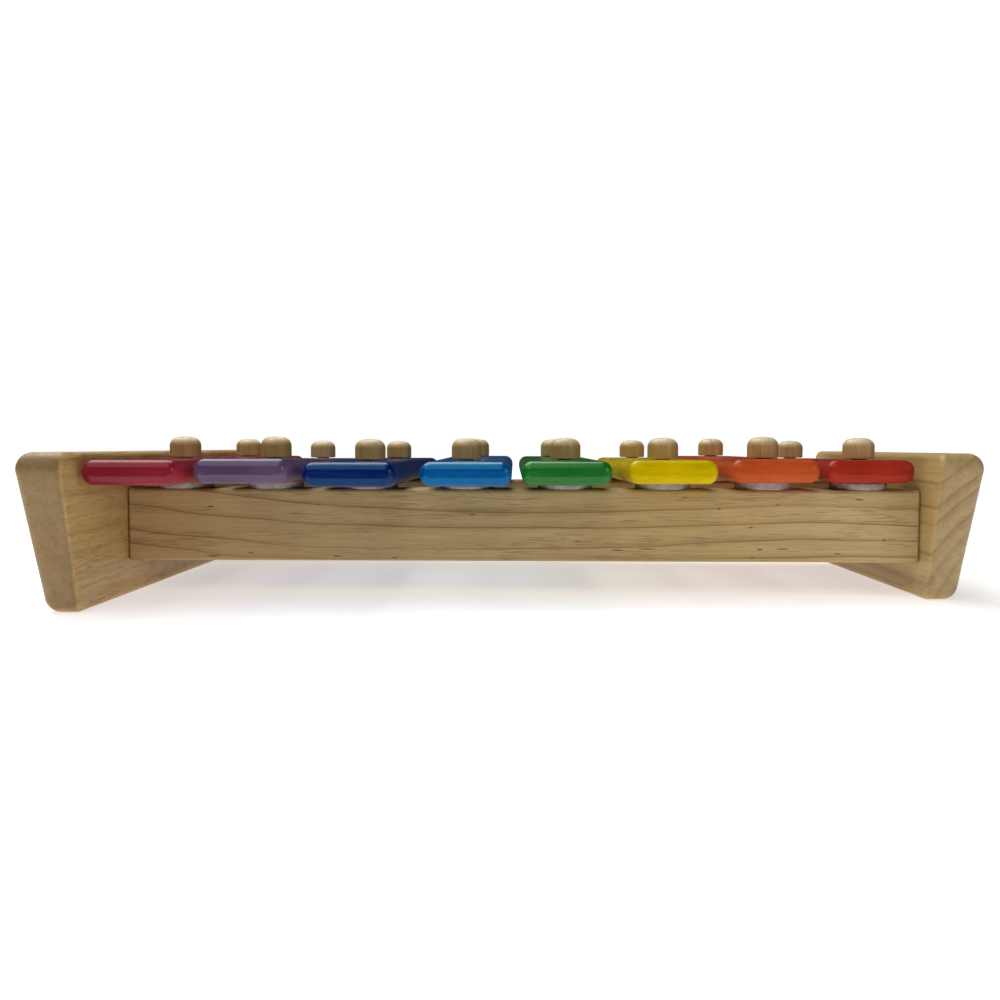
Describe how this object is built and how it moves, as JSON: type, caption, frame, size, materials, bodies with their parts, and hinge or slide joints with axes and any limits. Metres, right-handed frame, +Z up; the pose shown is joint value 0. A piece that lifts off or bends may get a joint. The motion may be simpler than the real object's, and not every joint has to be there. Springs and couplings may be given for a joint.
{
  "type": "wooden xylophone",
  "caption": "Toy wooden xylophone: painted bars of falling length lie loose on felt washers over two rails, held by domed pegs between two end panels.",
  "frame": {"origin": "on the table, under the middle of the whole part's bounding box", "axes": "+X along the rails from the longest bar to the shortest, +Y from the player to the back, +Z up"},
  "size_m": [0.3558, 0.246, 0.0649],
  "materials": {
    "natural_wood": "satin clear lacquer",
    "white_felt": "pressed felt",
    "paint_pink": "semi-gloss paint on wood",
    "paint_purple": "semi-gloss paint on wood",
    "paint_dark_blue": "semi-gloss paint on wood",
    "paint_light_blue": "semi-gloss paint on wood",
    "paint_green": "semi-gloss paint on wood",
    "paint_yellow": "semi-gloss paint on wood",
    "paint_orange": "semi-gloss paint on wood",
    "paint_red": "semi-gloss paint on wood"
  },
  "bodies": {
    "frame": {"end_panel_left": "natural_wood", "end_panel_right": "natural_wood", "rail_front": "natural_wood", "rail_back": "natural_wood", "dowels_left_front": "natural_wood", "dowels_left_back": "natural_wood", "dowels_right_front": "natural_wood", "dowels_right_back": "natural_wood", "peg_front_pink": "natural_wood", "peg_back_pink": "natural_wood", "peg_front_purple": "natural_wood", "peg_back_purple": "natural_wood", "peg_front_dark_blue": "natural_wood", "peg_back_dark_blue": "natural_wood", "peg_front_light_blue": "natural_wood", "peg_back_light_blue": "natural_wood", "peg_front_green": "natural_wood", "peg_back_green": "natural_wood", "peg_front_yellow": "natural_wood", "peg_back_yellow": "natural_wood", "peg_front_orange": "natural_wood", "peg_back_orange": "natural_wood", "peg_front_red": "natural_wood", "peg_back_red": "natural_wood", "felt_front_pink": "white_felt", "felt_back_pink": "white_felt", "felt_front_purple": "white_felt", "felt_back_purple": "white_felt", "felt_front_dark_blue": "white_felt", "felt_back_dark_blue": "white_felt", "felt_front_light_blue": "white_felt", "felt_back_light_blue": "white_felt", "felt_front_green": "white_felt", "felt_back_green": "white_felt", "felt_front_yellow": "white_felt", "felt_back_yellow": "white_felt", "felt_front_orange": "white_felt", "felt_back_orange": "white_felt", "felt_front_red": "white_felt", "felt_back_red": "white_felt"},
    "pink_bar": {"bar_pink": "paint_pink"},
    "purple_bar": {"bar_purple": "paint_purple"},
    "dark_blue_bar": {"bar_dark_blue": "paint_dark_blue"},
    "light_blue_bar": {"bar_light_blue": "paint_light_blue"},
    "green_bar": {"bar_green": "paint_green"},
    "yellow_bar": {"bar_yellow": "paint_yellow"},
    "orange_bar": {"bar_orange": "paint_orange"},
    "red_bar": {"bar_red": "paint_red"}
  },
  "joints": [
    {"name": "pink_bar_lift", "type": "slide", "parent": "frame", "child": "pink_bar", "axis": [0, 0, 1], "range_m": [0, 0.0003]},
    {"name": "purple_bar_lift", "type": "slide", "parent": "frame", "child": "purple_bar", "axis": [0, 0, 1], "range_m": [0, 0.0003]},
    {"name": "dark_blue_bar_lift", "type": "slide", "parent": "frame", "child": "dark_blue_bar", "axis": [0, 0, 1], "range_m": [0, 0.0003]},
    {"name": "light_blue_bar_lift", "type": "slide", "parent": "frame", "child": "light_blue_bar", "axis": [0, 0, 1], "range_m": [0, 0.0003]},
    {"name": "green_bar_lift", "type": "slide", "parent": "frame", "child": "green_bar", "axis": [0, 0, 1], "range_m": [0, 0.0003]},
    {"name": "yellow_bar_lift", "type": "slide", "parent": "frame", "child": "yellow_bar", "axis": [0, 0, 1], "range_m": [0, 0.0003]},
    {"name": "orange_bar_lift", "type": "slide", "parent": "frame", "child": "orange_bar", "axis": [0, 0, 1], "range_m": [0, 0.0003]},
    {"name": "red_bar_lift", "type": "slide", "parent": "frame", "child": "red_bar", "axis": [0, 0, 1], "range_m": [0, 0.0003]}
  ]
}
